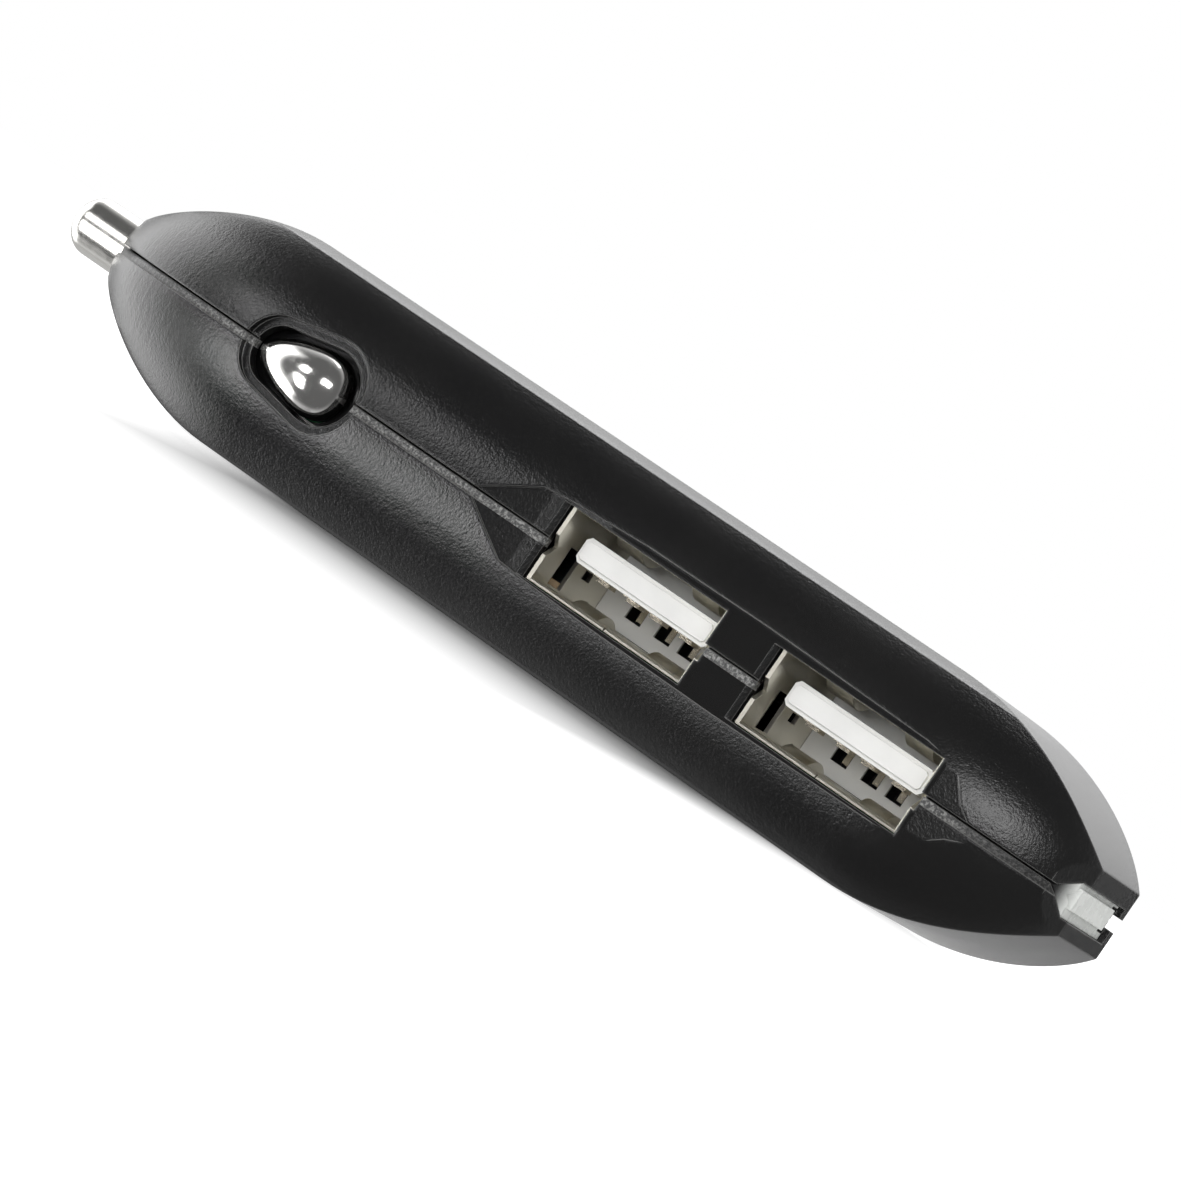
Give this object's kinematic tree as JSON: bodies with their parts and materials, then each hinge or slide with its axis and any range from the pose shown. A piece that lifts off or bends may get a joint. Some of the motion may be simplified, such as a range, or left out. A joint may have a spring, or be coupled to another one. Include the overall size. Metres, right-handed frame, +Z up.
{
  "type": "car usb charger plug",
  "caption": "Slim black car charger plug with a sprung metal tip, sprung side contacts in egg-shaped windows, USB sockets along one narrow side and a milky light at the end.",
  "frame": {"origin": "centre of the bounding box's base, on the flat broad side that the plug lies on", "axes": "+X along the body from the tip to the light end, the USB sockets open to -Y, +Z up"},
  "size_m": [0.0894, 0.0222, 0.0155],
  "materials": {
    "shell_black": "satin black moulded plastic",
    "nickel": "polished nickel plate",
    "spring_steel": "bright spring wire",
    "bronze": "plain phosphor bronze strip",
    "holder_black": "gloss black",
    "board": "green solder mask",
    "tin_plate": "bright tinned steel",
    "socket_white": "white moulded plastic",
    "gold": "gold plate",
    "milky": "milky translucent plastic",
    "led_body": "clear over phosphor",
    "can": "satin can",
    "ferrite": "matte ferrite",
    "copper": "enamelled copper wire",
    "chip_black": "matte moulded package",
    "fuse_body": "matte ceramic body",
    "cap_body": "matte ceramic body"
  },
  "bodies": {
    "body": {"upper_shell": "shell_black", "lower_shell": "shell_black", "tip_spring": "spring_steel", "tip_terminal": "bronze", "front_contact_holder": "holder_black", "front_contact_leaf": "bronze", "rear_contact_holder": "holder_black", "rear_contact_leaf": "bronze", "circuit_board": "board", "usb_frame_a": "tin_plate", "usb_insulator_a": "socket_white", "usb_contacts_a": "gold", "usb_frame_b": "tin_plate", "usb_insulator_b": "socket_white", "usb_contacts_b": "gold", "light_guide": "milky", "led": "led_body", "input_capacitor": "can", "output_capacitor": "can", "inductor_core": "ferrite", "inductor_winding": "copper", "converter_chip": "chip_black", "port_chip": "chip_black", "rectifier_diode": "chip_black", "input_fuse": "fuse_body", "chip_resistors": "chip_black", "chip_capacitors": "cap_body"},
    "tip": {"tip_contact": "nickel"},
    "front_contact": {"front_ground_contact": "nickel"},
    "rear_contact": {"rear_ground_contact": "nickel"}
  },
  "joints": [
    {"name": "tip_slide", "type": "slide", "parent": "body", "child": "tip", "axis": [1, 0, 0], "range_m": [0, 0.0025], "stiffness_N_per_m": 800, "springref_m": -0.004, "deforming": ["tip_spring"]},
    {"name": "front_contact_slide", "type": "slide", "parent": "body", "child": "front_contact", "axis": [0, 1, 0], "range_m": [0, 0.001], "stiffness_N_per_m": 2000, "springref_m": -0.0005, "deforming": ["front_contact_leaf"]},
    {"name": "rear_contact_slide", "type": "slide", "parent": "body", "child": "rear_contact", "axis": [0, -1, 0], "range_m": [0, 0.001], "stiffness_N_per_m": 2000, "springref_m": -0.0005, "deforming": ["rear_contact_leaf"]}
  ]
}
